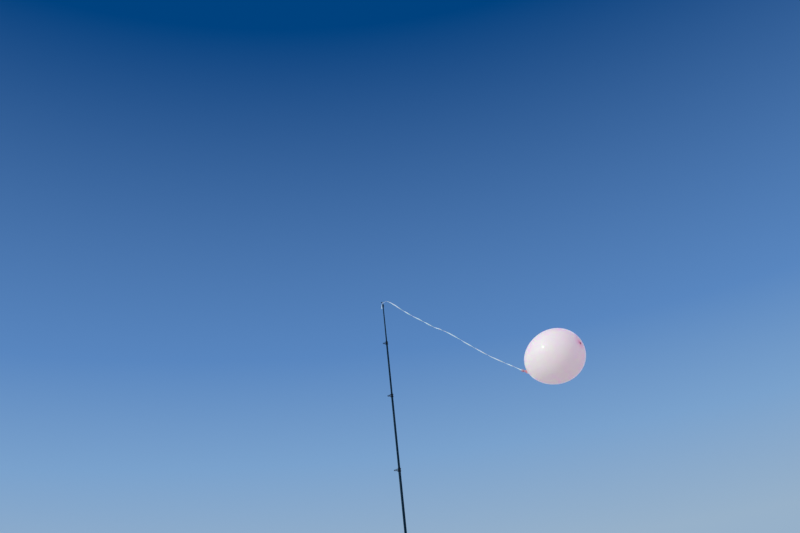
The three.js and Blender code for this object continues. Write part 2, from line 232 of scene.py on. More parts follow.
piece("rubber_cap", butt_cap, rubber, "butt", "rubber", "butt_cap")

# Rear and fore grips: sleeves of closed-cell foam, ground to a gentle waist and glued over the tube.
# Their matt skin shows fine pores.
foam, foam_shader = finish("foam", (0.012, 0.012, 0.013), 0.93, Sheen_Weight=0.05, Specular_IOR_Level=0.3)
foam_pores = node(
    foam, "TexVoronoi", {}, {"Vector": place(foam), "Scale": 1 / (0.9 * mm), "Randomness": 1.0}
).outputs["Distance"]
dress(
    foam, foam_shader,
    Base_Color=mixed(
        foam, between(foam, foam_pores, 0, 1, 0.1, 0.6), (0.006, 0.006, 0.007), (0.02, 0.02, 0.021)
    ),
    Roughness=between(foam, foam_pores, 0.98, 0.88, 0.1, 0.6),
)
raised(foam, foam_shader, (foam_pores, 0.1), (cloud(foam, 1.5, 4), 0.06))


def smooth_line(points, steps):
    """A smooth line through points, with that many steps between each two."""
    points = [Vector(p) for p in points]
    line = []
    for i, (a, b) in enumerate(zip(points, points[1:])):
        before = points[i - 1] if i > 0 else 2 * a - b
        after = points[i + 2] if i + 2 < len(points) else 2 * b - a
        for k in range(steps):
            t = k / steps
            line.append(
                a * (1 - t) + b * t
                + t * (1 - t) * ((1 - t) * (b - before) / 2 + t * (a - after) / 2)
                - t * (1 - t) * (1 - 2 * t) * (b - a)
            )
    return line + [points[-1]]


def foam_grip(name, node_name, waist):
    """A grip from its waist: (radius, height) pairs up its outside."""
    outside = [tuple(p) for p in smooth_line(waist, 6)]
    grip = turned([(bore, waist[0][1]), *outside, (bore, waist[-1][1])])
    piece(name, eased(grip, 1.1), foam, "butt", "foam", node_name)


rear_radius, rear_low, rear_top = span("rear_grip")
foam_grip("rear_foam_grip", "rear_grip", [
    (rear_radius, rear_low), (rear_radius, rear_low + 25.7), (rear_radius - 1, rear_low + 75.7),
    (rear_radius - 0.2, rear_low + 130.7), (rear_radius - 1, rear_top),
])
fore_radius, fore_low, fore_top = span("fore_grip")
foam_grip("fore_foam_grip", "fore_grip", [
    (fore_radius - 0.4, fore_low), (fore_radius, fore_low + 23.7), (fore_radius - 1.2, fore_low + 62.7),
    (fore_radius - 3, fore_top),
])

# Trim rings: bright metal, turned on a lathe and polished. One closes the rear grip, and a coned one
# closes the fore grip.
steel, steel_shader = finish("polished_steel", (0.72, 0.73, 0.75), 0.2, Metallic=1.0)
steel_marks = cloud(steel, 5, 4, (0.2, 0.2, 14))
dress(
    steel, steel_shader,
    Base_Color=mixed(steel, between(steel, cloud(steel, 7), 0, 1), (0.66, 0.67, 0.7), (0.8, 0.8, 0.82)),
    Roughness=between(steel, steel_marks, 0.12, 0.3),
)
raised(steel, steel_shader, (steel_marks, 0.006))

ring_radius, ring_low, ring_high = span("rear_trim_ring")
ring_middle = (ring_low + ring_high) / 2
ring_step = ring_radius - 0.5  # the radius at its two edges and in its groove
ring_edge, ring_groove = 0.6, 0.3  # the height of an edge's slope, and half of the groove's floor
rear_trim = turned([
    (bore, ring_low), (ring_step, ring_low), (ring_radius, ring_low + ring_edge),
    (ring_radius, ring_middle - ring_edge), (ring_step, ring_middle - ring_groove),
    (ring_step, ring_middle + ring_groove), (ring_radius, ring_middle + ring_edge),
    (ring_radius, ring_high - ring_edge), (ring_step, ring_high), (bore, ring_high),
])
piece("rear_trim", eased(rear_trim, 0.12, segments=2), steel, "butt", "steel", "rear_trim_ring")

cone_radius, cone_low, cone_high = span("front_trim_ring")
cone_step = cone_radius - 0.45  # the radius in the groove round the cone's foot
front_trim = turned([
    (bore, cone_low), (cone_radius, cone_low), (cone_radius, cone_low + 2.2),
    (cone_step, cone_low + 2.5), (cone_step, cone_low + 3.1),
    (cone_radius - 0.3, cone_low + 3.3), (cone_radius - 1, cone_high), (bore, cone_high),
])
piece("front_trim", eased(front_trim, 0.12, segments=2), steel, "butt", "steel", "front_trim_ring")

# Reel seat: a moulded black body with a flat pad for the reel's foot and a screw thread round its upper
# half. A fixed hood, and a sliding hood with a ribbed lock nut, would hold the foot.
seat_plastic, seat_shader = finish("seat_plastic", (0.02, 0.022, 0.025), 0.42, Specular_IOR_Level=0.45)
dress(
    seat_plastic, seat_shader,
    Base_Color=mixed(
        seat_plastic, between(seat_plastic, cloud(seat_plastic, 12, 5), 0, 1),
        (0.017, 0.019, 0.022), (0.032, 0.034, 0.038),
    ),
    Roughness=between(seat_plastic, cloud(seat_plastic, 3, 4), 0.34, 0.52),
)
raised(seat_plastic, seat_shader, (cloud(seat_plastic, 0.35, 2), 0.02))

seat_low, seat_top = span("reel_seat_body")[1:]
seat_radius = 10
pad_half_width = 7
pad_low, pad_high = seat_low + 21.7, seat_low + 115.7
pad_x, cushion_x = -12, -12.4
cushion_low, cushion_high = pad_low + 16, pad_high - 16
thread_low, thread_pitch, thread_depth = seat_low + 76, 1.8, 0.5
thread_end = seat_top - 3
groove_start, groove_finish, groove_edge = 0.35, 0.5, 0.85  # shares of the pitch

seat_outline = [(bore, seat_low), (seat_radius, seat_low)]
for i in range(int((thread_end - thread_low) / thread_pitch)):
    foot = thread_low + i * thread_pitch
    seat_outline += [
        (seat_radius, foot), (seat_radius - thread_depth, foot + groove_start * thread_pitch),
        (seat_radius - thread_depth, foot + groove_finish * thread_pitch),
        (seat_radius, foot + groove_edge * thread_pitch),
    ]
seat = turned(seat_outline + [(seat_radius, seat_top), (bore, seat_top)])


def drawn(section, stations):
    """A bar with that section, drawn through stations, each a matrix that places the section there."""
    bm = bmesh.new()
    face = bm.faces.new([bm.verts.new(stations[0] @ Vector(corner)) for corner in section])
    for before, after in zip(stations, stations[1:]):
        fresh = bmesh.ops.extrude_face_region(bm, geom=[face])["geom"]
        corners = [g for g in fresh if isinstance(g, bmesh.types.BMVert)]
        bmesh.ops.transform(bm, matrix=after @ before.inverted(), verts=corners)
        if before != stations[0]:
            bm.faces.remove(face)
        face = next(g for g in fresh if isinstance(g, bmesh.types.BMFace))
    bmesh.ops.recalc_face_normals(bm, faces=bm.faces)
    return bm


cross_ribs, cross_rib_pitch = 30, 2
groove_x = cushion_x + 0.25  # floor of the grooves between the cushion's cross ribs
cushion_edge = 1
pad_root_x = -bore - 0.4
pad_side = [(pad_root_x, pad_low, 0), (pad_x, pad_low, 0), (pad_x, cushion_low, 0)]
for i in range(cross_ribs):
    z = cushion_low + cushion_edge + i * cross_rib_pitch
    pad_side += [(cushion_x, z, 0), (cushion_x, z + 1.2, 0), (groove_x, z + 1.4, 0), (groove_x, z + 1.8, 0)]
pad_side += [
    (cushion_x, cushion_high - cushion_edge, 0), (pad_x, cushion_high, 0), (pad_x, pad_high, 0),
    (pad_root_x, pad_high, 0),
]
upright = Matrix(((1, 0, 0, 0), (0, 0, 1, 0), (0, 1, 0, 0), (0, 0, 0, 1)))
pad = drawn(
    [Vector(corner) * mm for corner in pad_side],
    [Matrix.Translation((0, y * mm, 0)) @ upright for y in (-pad_half_width, pad_half_width)],
)
seat_shells = merged(seat, eased(pad, 0.12, segments=2))
piece("seat_moulding", seat_shells, seat_plastic, "butt", "seat_plastic", "reel_seat_body")

hood_bore = seat_radius + 0.3
hood_ring = 2.4
hood_root, hood_reach, hood_half_width = -8.3, 11.7, 9.6
pocket_floor = 14  # depth of the pocket from the hood's mouth
pocket_reach, pocket_width = 0.786, 0.76  # of the hood's own
arch_sides = 3.2  # how far the arch's sides run straight out
arch_steps, squareness = 12, 0.55  # 1 would make the arch round
arch = [(0, -hood_half_width)]
for k in range(-arch_steps, arch_steps + 1):
    a = k / arch_steps * math.pi / 2
    across = math.copysign(abs(math.sin(a)) ** squareness, a) * hood_half_width
    arch.append((-arch_sides - (hood_reach - arch_sides) * math.cos(a) ** squareness, across))
arch.append((0, hood_half_width))


def hood(name, mouth, back, ring_low, ring_high):
    """A ring round the seat, and an arch with a pocket for the reel's foot in its mouth."""
    way = 1 if mouth > back else -1
    shape = [  # heights along the arch and into its pocket, with the shares of its reach and width there
        (back, 0.72, 0.8), (back + way * 0.8, 0.85, 0.9),
        (back + way * 2.2, 0.94, 0.96), (back + way * 4.5, 1, 1),
        (mouth - way * 1.2, 1, 1), (mouth - way * 0.4, 0.98, 0.98), (mouth, 0.95, 0.94),
        (mouth, 0.83, 0.82), (mouth - way * 0.6, pocket_reach, pocket_width),
        (mouth - way * pocket_floor, pocket_reach, pocket_width),
    ]
    stations = [
        Matrix.Translation((hood_root * mm, 0, z * mm)) @ Matrix.Diagonal((reach, width, 1, 1))
        for z, reach, width in shape
    ]
    cover = drawn([(x * mm, y * mm, 0) for x, y in arch], stations)
    ring = turned([
        (hood_bore, ring_low), (hood_bore + hood_ring, ring_low),
        (hood_bore + hood_ring, ring_high), (hood_bore, ring_high),
    ])
    shells = merged(cover, eased(ring, 0.7))
    piece(name + "_moulding", shells, seat_plastic, "butt", "seat_plastic", "reel_seat_" + name)


hood_heights = {  # up from the seat's foot: the arch's mouth and back, the ring's low and high end
    "fixed_hood": (35.7, 13.7, 5.7, 27.7),
    "sliding_hood": (101.7, 121.7, 109.7, 124.7),
}
for name, heights in hood_heights.items():
    hood(name, *(seat_low + height for height in heights))

nut_radius, nut_low, nut_high = span("reel_seat_lock_nut")
nut_edge = 1
nut_sides = 72  # every second one is a flute
flute_low, flute_high = nut_low + 2.4, nut_high - 2.4
flute_margin, flute_depth = 0.22, 0.55
nut = turned([
    (hood_bore, nut_low), (nut_radius - nut_edge, nut_low), (nut_radius, nut_low + nut_edge),
    (nut_radius, flute_low), (nut_radius, flute_high),
    (nut_radius, nut_high - nut_edge), (nut_radius - nut_edge, nut_high), (hood_bore, nut_high),
], nut_sides)
flutes = []
for face in nut.faces:
    middle = face.calc_center_median() / mm
    side = math.floor(math.atan2(middle.y, middle.x) / math.tau * nut_sides)
    outermost = math.hypot(middle.x, middle.y) > nut_radius - nut_edge / 5
    if outermost and side % 2 and flute_low < middle.z < flute_high:
        flutes.append(face)
bmesh.ops.inset_individual(nut, faces=flutes, thickness=flute_margin * mm, depth=-flute_depth * mm)
piece("lock_nut_moulding", nut, seat_plastic, "butt", "seat_plastic", "reel_seat_lock_nut")

# Tubes: glass fibre wound on a mandrel, sanded and lacquered very dark blue-green. The winding tape's spiral
# shows faintly under the gloss. Each section slides in the one below and wedges at its foot.
lacquer, lacquer_shader = finish(
    "dark_lacquer", (0.0001, 0.016, 0.036), 0.4, Coat_Weight=0.03, Coat_Roughness=0.15,
    Specular_IOR_Level=0.05,
)
fibre = cloud(lacquer, 3, 6, (1, 1, 0.12))
dress(
    lacquer, lacquer_shader,
    Base_Color=mixed(lacquer, between(lacquer, fibre, 0, 1), (0.0001, 0.013, 0.03), (0.0002, 0.02, 0.043)),
    Roughness=between(lacquer, cloud(lacquer, 2, 5), 0.32, 0.5),
)
tape_pitch = 3.2
spot = node(lacquer, "SeparateXYZ", {}, {"Vector": place(lacquer)}).outputs
round_rod = node(lacquer, "Math", {"operation": "ARCTAN2"}, {0: spot["Y"], 1: spot["X"]}).outputs[0]
up_rod = node(lacquer, "Math", {"operation": "MULTIPLY"}, {0: spot["Z"], 1: math.tau / (tape_pitch * mm)})
spiral = node(lacquer, "Math", {"operation": "ADD"}, {0: round_rod, 1: up_rod.outputs[0]})
tape = node(lacquer, "Math", {"operation": "SINE"}, {0: spiral.outputs[0]}).outputs[0]
raised(lacquer, lacquer_shader, (tape, 0.006), (cloud(lacquer, 8, 2), 0.02))

tube_sides = 48
collar_fit = 1.3  # from a tube's mouth to the outside of the guide's sleeve on it
tube_walls = {"butt": 0.7, "section_2": 0.4, "section_3": 0.4, "section_4": 0.4, "section_5": 0.4}
for section, wall in tube_walls.items():
    foot_radius, foot, mouth = span(section + "_tube")
    mouth_radius = span(section + "_guide_collar")[0] - collar_fit
    tube = turned([
        (foot_radius - wall, foot), (foot_radius, foot), (mouth_radius, mouth), (mouth_radius - wall, mouth),
    ], tube_sides)
    piece(section + "_blank", eased(tube, 0.1, segments=2), lacquer, section, "blank", section + "_tube")

tip_foot_radius, tip_foot, tip_top = span("tip_blank")
tip_radius = 2.7
tip = turned([(0, tip_foot), (tip_foot_radius, tip_foot), (tip_radius, tip_top), (0, tip_top)], 32)
piece("tip_section_blank", eased(tip, 0.1, segments=2), lacquer, "tip", "blank", "tip_blank")

# Guide sleeves: one at each tube's mouth, slipped on and whipped with dark thread between the frame's
# two clips, then varnished.
whipping, whipping_shader = finish(
    "varnished_whipping", (0.003, 0.01, 0.018), 0.35, Coat_Weight=0.05, Specular_IOR_Level=0.12,
)
dress(
    whipping, whipping_shader,
    Base_Color=mixed(
        whipping, between(whipping, cloud(whipping, 1.5, 4, (1, 1, 6)), 0, 1),
        (0.004, 0.009, 0.013), (0.013, 0.024, 0.033),
    ),
    Roughness=between(whipping, cloud(whipping, 1.2, 3), 0.28, 0.46),
)
raised(whipping, whipping_shader, (cloud(whipping, 0.3, 2, (0.3, 0.3, 4)), 0.02))

sleeve_wall, sleeve_edge = 1, 0.4
thread, thread_relief, thread_steps = 0.5, 0.11, 4
whipping_inset = 3.4  # from the sleeve's ends, under the frame's clips
for section in tube_walls:
    radius, low, high = span(section + "_guide_collar")
    outline = [(radius - sleeve_wall, low), (radius - sleeve_edge, low), (radius, low + sleeve_edge)]
    turns = int((high - low - 2 * whipping_inset) / thread)
    start = (low + high - turns * thread) / 2
    end = start + turns * thread
    for i in range(turns * thread_steps):
        dip = 1 - math.sin(math.pi * (i % thread_steps) / thread_steps)
        outline.append((radius - thread_relief * dip, start + i * thread / thread_steps))
    outline += [(radius - thread_relief, end), (radius, end + 0.2)]
    outline += [(radius, high - sleeve_edge), (radius - sleeve_edge, high), (radius - sleeve_wall, high)]
    name = section + "_sleeve"
    sleeve = turned(outline, tube_sides)
    piece(name, sleeve, whipping, section, "collar_plastic", section + "_guide_collar")

# Guides: a ring of dark polished ceramic in a band, held off the rod by four bent wires that are brazed
# to two clips round the sleeve. Band, wires and clips are steel with a dark plating.
plated, plated_shader = finish(
    "black_plated_steel", (0.008, 0.018, 0.032), 0.32, Metallic=0.5, Specular_IOR_Level=0.12,
    Specular_Tint=(0.15, 0.35, 0.6, 1),
)
dress(
    plated, plated_shader,
    Base_Color=mixed(
        plated, between(plated, cloud(plated, 4, 5), 0, 1), (0.004, 0.011, 0.022), (0.013, 0.026, 0.044)
    ),
    Roughness=between(plated, cloud(plated, 2, 4), 0.22, 0.38),
)
raised(plated, plated_shader, (cloud(plated, 0.6, 3), 0.008))

ceramic, ceramic_shader = finish(
    "polished_ceramic", (0.006, 0.012, 0.022), 0.08, Coat_Weight=0.05, Specular_IOR_Level=0.2,
)
dress(
    ceramic, ceramic_shader,
    Base_Color=mixed(
        ceramic, between(ceramic, cloud(ceramic, 1.5, 5), 0, 1), (0.003, 0.008, 0.017), (0.01, 0.018, 0.03)
    ),
    Roughness=between(ceramic, cloud(ceramic, 2.5), 0.05, 0.14),
)
raised(ceramic, ceramic_shader, (cloud(ceramic, 0.8, 2), 0.004))

wire_radius, wire_sides = 0.7, 12
wire_sink = 0.3  # how deep a wire's ends run into the clip and the band
root_angle, end_angle = math.radians(52), math.radians(69)  # round the clip, and round the band
wire_bow = Vector((0, 0.25, 0.35))
clip_fit, clip_wall, clip_height, clip_inset = 0.3, 0.9, 2.4, 0.6
ring_wall, ring_height = 1.1, 2.4
band_fit, band_wall = 0.3, 0.8


def stations_along(line, facing, turns=None, sizes=None):
    """A matrix at each point of a line in millimetres: Z runs along it, and Y looks to the facing side,
    turned about the line by that station's angle and scaled to its size."""
    made = []
    for i, point in enumerate(line):
        run = (line[min(i + 1, len(line) - 1)] - line[max(i - 1, 0)]).normalized()
        across = Vector(facing).cross(run).normalized()
        if turns:
            across = Matrix.Rotation(turns[i], 3, run) @ across
        turned_frame = Matrix((across, run.cross(across), run)).transposed().to_4x4()
        size = sizes[i] if sizes else 1
        made.append(Matrix.Translation(point * mm) @ turned_frame @ Matrix.Diagonal((size, size, 1, 1)))
    return made


def wire(points):
    """A round wire bent through points, with rounded ends."""
    disc = []
    for i in range(wire_sides):
        a = math.tau * i / wire_sides
        disc.append((wire_radius * mm * math.cos(a), wire_radius * mm * math.sin(a), 0))
    line = smooth_line(points, 6)
    start, end = line[0], line[-1]
    line = [start, start.lerp(line[1], 0.12), start.lerp(line[1], 0.3), *line[1:-1]]
    line += [line[-1].lerp(end, 0.7), line[-1].lerp(end, 0.88), end]
    sizes = [0.5, 0.85] + [1] * (len(line) - 4) + [0.85, 0.5]
    return drawn(disc, stations_along(line, (0.3, 0.2, 1), sizes=sizes))


def collar_ring(inner, outer, low, high, centre=(0, 0)):
    """A flat metal ring with rounded edges."""
    ring = turned([(inner, low), (outer, low), (outer, high), (inner, high)], tube_sides, centre)
    return eased(ring, 0.2, segments=2)


def ceramic_ring(name, node_name, body):
    """A guide's ring: its section is rounded, so the line runs over a smooth edge."""
    low, high = (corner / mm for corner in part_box(node_name))
    rim = (high.y - low.y) / 2
    middle = (low + high) / 2
    section_steps, squareness = 16, 0.7
    outline = []
    for i in range(section_steps):
        angle = math.tau * i / section_steps
        bulge = math.copysign(abs(math.cos(angle)) ** squareness, math.cos(angle))
        rise = math.copysign(abs(math.sin(angle)) ** squareness, math.sin(angle))
        outline.append((rim - ring_wall / 2 * (1 + bulge), middle.z + ring_height / 2 * rise))
    piece(name, turned(outline, tube_sides, (middle.x, 0)), ceramic, body, "ceramic", node_name)
    return rim, middle


for section in tube_walls:
    rim, middle = ceramic_ring(section + "_ceramic", section + "_guide_ring", section)
    sleeve_radius, low, high = span(section + "_guide_collar")
    clip_inner = sleeve_radius + clip_fit
    clip_outer = clip_inner + clip_wall
    band_inner = rim + band_fit
    band_outer = band_inner + band_wall
    band_low, band_high = middle.z - ring_height / 2, middle.z + ring_height / 2
    parts = [collar_ring(band_inner, band_outer, band_low, band_high, (middle.x, 0))]
    for up in (-1, 1):
        clip_middle = middle.z + up * ((high - low - clip_height) / 2 - clip_inset)
        clip_low, clip_high = clip_middle - clip_height / 2, clip_middle + clip_height / 2
        parts.append(collar_ring(clip_inner, clip_outer, clip_low, clip_high))
        for side in (-1, 1):
            root = Vector((-math.cos(root_angle), side * math.sin(root_angle), 0)) * (clip_outer - wire_sink)
            root.z = clip_middle
            end = Vector((math.cos(end_angle), side * math.sin(end_angle), 0)) * (band_outer - wire_sink)
            end += middle
            bow = (root + end) / 2 + wire_bow * Vector((1, side, up))
            parts.append(wire([root, bow, end]))
    name = section + "_wire_guide"
    piece(name, merged(*parts), plated, section, "plated_steel", section + "_guide_frame")

# Tip-top: a cup glued over the blank's end, with a clip, two bowed arms and a band that hold the last
# ceramic ring; all of the guides' dark plated steel.
cup_radius, cup_low, cup_high = span("tip_top_collar")
cup_wall, cup_edge, cup_gap = 0.8, 0.6, 0.3
cup_inner, cup_ceiling = cup_radius - cup_wall, tip_top + cup_gap
cup = turned([
    (cup_inner, cup_low), (cup_radius, cup_low), (cup_radius, cup_high - cup_edge),
    (cup_radius - cup_edge, cup_high), (0, cup_high), (0, cup_ceiling), (cup_inner, cup_ceiling),
], tube_sides)
piece("tip_cup", eased(cup, 0.15, segments=2), plated, "tip", "plated_steel", "tip_top_collar")

tip_rim, tip_ring_middle = ceramic_ring("tip_ceramic", "tip_top_ring", "tip")
tip_clip_height, tip_band_wall = 3, 0.7
arm_out, arm_forward, arm_drop = 5.9, 1.5, 10  # the middle of an arm's bow; its drop is below the ring
tip_clip_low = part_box("tip_top_frame")[0].z / mm
tip_clip_high = tip_clip_low + tip_clip_height
tip_clip_inner = cup_radius + clip_fit
tip_clip_outer = tip_clip_inner + clip_wall
tip_band_inner = tip_rim + band_fit
tip_band_outer = tip_band_inner + tip_band_wall
tip_band_low, tip_band_high = tip_ring_middle.z - ring_height / 2, tip_ring_middle.z + ring_height / 2
parts = [
    collar_ring(tip_clip_inner, tip_clip_outer, tip_clip_low, tip_clip_high),
    collar_ring(tip_band_inner, tip_band_outer, tip_band_low, tip_band_high, (tip_ring_middle.x, 0)),
]
for side in (-1, 1):
    parts.append(wire([
        (0, side * (tip_clip_outer - wire_sink), (tip_clip_low + tip_clip_high) / 2),
        (-arm_forward, side * arm_out, tip_ring_middle.z - arm_drop),
        (tip_ring_middle.x, side * (tip_band_outer - wire_sink), tip_ring_middle.z),
    ]))
piece("tip_wire_frame", merged(*parts), plated, "tip", "plated_steel", "tip_top_frame")

# Ribbon: pearly film 5 mm wide with fine lengthwise ribs, sold for balloons and parcels. It runs from its
# knot at the tip ring to its knot at the balloon's neck, twisted over and over by the wind.
film, film_shader = finish(
    "pearl_film", (0.72, 0.95, 1), 0.3, Coat_Weight=0.6, Coat_Roughness=0.12,
    Sheen_Weight=0.2, Subsurface_Weight=0.15, Subsurface_Scale=0.002,
)
pearl = node(film, "LayerWeight", {}, {"Blend": 0.35}).outputs["Facing"]
film_streaks = mixed(film, between(film, cloud(film, 8, 4), 0, 1), (0.7, 0.95, 0.99), (0.76, 0.98, 1))
dress(
    film, film_shader,
    Base_Color=mixed(film, pearl, film_streaks, (0.66, 0.92, 1)),
    Roughness=between(film, cloud(film, 2, 4), 0.2, 0.4),
)
raised(film, film_shader, (cloud(film, 1.2, 3), 0.03))

ribbon_width = 5
ribbon_route = [
    (9.35, 0, 2270.65), (18, 0, 2274), (27, 0, 2272.6), (37, 0, 2266.4), (57.7, 0, 2250.3),
    (98, 0, 2212.3), (138.5, 0, 2180), (179, 0, 2149), (219, 0, 2119), (259.5, 0, 2090),
    (299.5, 0, 2066.5), (339.5, 0, 2040.3), (379, 0, 2010.3), (417.5, 0, 1977.5), (456, 0, 1945.5),
    (494.5, 0, 1916), (533, 0, 1887.5), (571, -0.5, 1861), (609.5, -1.5, 1835.5), (648, -5, 1812),
    (666.2, -8.5, 1798.1), (684.5, -12, 1784.1), (695, -12.4, 1781.7),
]
edge_on = [12, 120, 180, 250, 312, 368, 480, 560, 645, 750, 800, 880]  # mm along, where it shows its edge
towards_viewer = (-0.08, -0.9, -0.42)


def ribbon_section(width, ribs):
    """The corners of the film's section: cupped like a gutter, its two faces ribbed alike."""
    cup, thickness, relief = 1.3, 0.16, 0.07
    steps = 2 * ribs
    crests = []
    for i in range(steps + 1):
        x = 2 * i / steps - 1
        crests.append((width / 2 * x, cup * (x * x - 0.5) + relief * (0.5 if i % 2 else -0.5)))
    upper = [(x * mm, (y + thickness / 2) * mm, 0) for x, y in crests]
    lower = [(x * mm, (y - thickness / 2) * mm, 0) for x, y in reversed(crests)]
    return lower + upper


def lengths_along(line):
    """How far along a line each of its points is."""
    far = [0.0]
    for a, b in zip(line, line[1:]):
        far.append(far[-1] + (b - a).length)
    return far


def bunched(line, start, end):
    """The film's size at each point of a line: drawn together into its knots, over a length at either end."""
    least = 0.22
    far = lengths_along(line)
    sizes = []
    for at in far:
        size = 1
        for length, away in ((start, at), (end, far[-1] - at)):
            if length:
                share = min(1, away / length)
                size = min(size, least + (1 - least) * share * share * (3 - 2 * share))
        sizes.append(size)
    return sizes


ribbon_line = smooth_line(ribbon_route, 15)
twist = []
for far in lengths_along(ribbon_line):
    i = max(k for k, edge in enumerate(edge_on) if k == 0 or edge <= far)
    twist.append(math.pi * (i + 0.5 + (far - edge_on[i]) / (edge_on[i + 1] - edge_on[i])))
ribbon_sizes = bunched(ribbon_line, start=28, end=12)
ribbon_stations = stations_along(ribbon_line, towards_viewer, twist, ribbon_sizes)
ribbon_shape = drawn(ribbon_section(ribbon_width, 9), ribbon_stations)
ribbon = piece("film_ribbon", ribbon_shape, film, "tip", "ribbon_film", "ribbon")

# Ribbon's tail: the short end of the same film left over at the tip ring's knot. It was split narrower and
# curls by its own set.
tail_route = [
    (5.45, -2.25, 2267.95), (0.5, -8, 2262.5), (-5, -11, 2252), (-7.5, -12, 2238), (-8, -11.5, 2224),
]
tail_width = 3.6
turn_per_mm = 1.1 * math.pi / 60
tail_line = smooth_line(tail_route, 12)
tail_curl = [turn_per_mm * far for far in lengths_along(tail_line)]
tail_sizes = bunched(tail_line, start=12, end=0)
tail_stations = stations_along(tail_line, (-0.3, -0.9, -0.3), tail_curl, tail_sizes)
tail_shape = drawn(ribbon_section(tail_width, 7), tail_stations)
tail = piece("film_tail", tail_shape, film, "tip", "ribbon_film", "ribbon_tail")


# Ribbon's knots: the same film gathered into an overhand knot, pulled tight, on a loop through the tip
# ring, and into another on two turns round the balloon's neck.
def gathered(width, thickness, folds=7, depth=0.12):
    """The corners of a section of film drawn together into folds."""
    corners = []
    for i in range(4 * folds):
        a = math.tau * i / (4 * folds)
        size = (1 + depth * math.cos(folds * a)) * mm / 2
        corners.append((width * size * math.cos(a), thickness * size * math.sin(a), 0))
    return corners


def closed_bar(line, section):
    """A bar with that section along a closed line, its Y side away from the line's middle."""
    middle = sum(line, Vector()) / len(line)
    count = len(line)
    stations = []
    for i in range(count + 1):
        run = (line[(i + 1) % count] - line[(i - 1) % count]).normalized()
        out = line[i % count] - middle
        out = (out - run * out.dot(run)).normalized()
        bar_frame = Matrix((out.cross(run), out, run)).transposed().to_4x4()
        stations.append(Matrix.Translation(line[i % count] * mm) @ bar_frame)
    bar = drawn(section, stations)
    ends = [f for f in bar.faces if len(f.verts) == len(section)]
    bmesh.ops.delete(bar, geom=ends, context="FACES_ONLY")
    bmesh.ops.remove_doubles(bar, verts=bar.verts, dist=0.01 * mm)
    bmesh.ops.recalc_face_normals(bar, faces=bar.faces)
    return bar


def overhand(radius, thickness, rise=1.6, steps=90):
    """The closed line of an overhand knot within a radius, about its own middle."""
    reach = (radius - thickness / 2) / 3
    line = []
    for i in range(steps):
        t = math.tau * i / steps
        line.append(Vector((
            math.sin(t) + 2 * math.sin(2 * t), math.cos(t) - 2 * math.cos(2 * t), -rise * math.sin(3 * t),
        )) * reach)
    return line


loop_middle = Vector((tip_ring_middle.x + (tip_rim - ring_wall + tip_band_outer) / 2, 0, tip_ring_middle.z))
loop_radius, loop_steps = 2.15, 40
loop_line = []
for i in range(loop_steps):
    a = math.tau * i / loop_steps
    loop_line.append(loop_middle + loop_radius * Vector((math.cos(a), 0, math.sin(a))))
knot_middle = Vector((7.5, 0, 2269.35))
knot_lean = Matrix.Rotation(math.radians(70), 3, "X")
knot = closed_bar(overhand(2.1, 1.1), gathered(1.2, 0.8))
bmesh.ops.rotate(knot, verts=knot.verts, cent=(0, 0, 0), matrix=knot_lean)
bmesh.ops.translate(knot, verts=knot.verts, vec=knot_middle * mm)
tip_knot = piece(
    "film_tip_knot", merged(closed_bar(loop_line, gathered(0.8, 0.55)), knot), film, "tip", "ribbon_film",
    "ribbon_tip_knot",
)

neck_root = Vector((716.5, -8.2, 1774.7))
neck_turn, neck_rise = math.radians(172), math.radians(19)
neck_way = Vector((
    math.cos(neck_rise) * math.cos(neck_turn), math.cos(neck_rise) * math.sin(neck_turn),
    math.sin(neck_rise),
))
neck_tilt = Vector((0, 0, 1)).rotation_difference(neck_way)
neck_place = Matrix.Translation(neck_root * mm) @ neck_tilt.to_matrix().to_4x4()
neck_knot_middle = Vector((696.7, -11.5, 1781.2))
wrap_turns, wrap_steps, wrap_radius, wrap_foot, wrap_height = 2, 48, 5, 16.7, 1
wrap_sway = 0.2  # up and down, as it was wound by hand
knot_side = neck_place.inverted() @ (neck_knot_middle * mm)
knot_angle = math.atan2(knot_side.y, knot_side.x)
wrap_line = []
for k in range(wrap_steps * wrap_turns + 1):
    a = knot_angle + math.tau * k / wrap_steps
    height = wrap_foot + wrap_height * k / (wrap_steps * wrap_turns) + wrap_sway * math.sin(1.3 * a)
    wrap_line.append(Vector((wrap_radius * math.cos(a), wrap_radius * math.sin(a), height)))
wrap = drawn(gathered(0.8, 0.8, 5), stations_along(wrap_line, (0, 0, 1)))
bmesh.ops.transform(wrap, matrix=neck_place, verts=wrap.verts)
neck_knot_shape = closed_bar(overhand(2.3, 1.2), gathered(1.3, 0.9))
bmesh.ops.translate(neck_knot_shape, verts=neck_knot_shape.verts, vec=neck_knot_middle * mm)
neck_knot = piece(
    "film_neck_knot", merged(wrap, neck_knot_shape), film, "tip", "ribbon_film", "ribbon_neck_knot"
)

# Balloon: one skin of thin latex, dipped on a pear-shaped former and blown up. Stretched it turns pale
# and lets light through; it stays thick and deep pink in a spot at the crown and towards the neck. Its
# side away from the sun is painted pinker, as painted shade.
latex, latex_shader = finish(
    "stretched_latex", (0.95, 0.85, 0.84), 0.5, Subsurface_Weight=0.5, Subsurface_Scale=0.1,
    Specular_IOR_Level=0.5, Coat_Weight=0.12, Coat_Roughness=0.12, Sheen_Weight=0.8, Sheen_Roughness=0.28,
    Subsurface_Radius=(1.0, 0.12, 0.85), Sheen_Tint=(0.85, 0.82, 1, 1),
)
crown_spot = Vector((0.9743, -0.1955, 1.8196))
crown_blush = Vector((0.9702, -0.199, 1.8237))  # where the thick latex round the spot shows most
# Painted shade: the skin is painted pinker round this point, on the side away from the sun.
painted_shade_side = Vector((0.967, -0.042, 1.707))  # its middle


def fade_from(material, point, near, far):
    """One at up to so many millimetres from a point, fading to nought."""
    inputs = {0: place(material), 1: tuple(point)}
    away = node(material, "VectorMath", {"operation": "DISTANCE"}, inputs).outputs["Value"]
    return between(material, away, 1, 0, near * mm, far * mm)


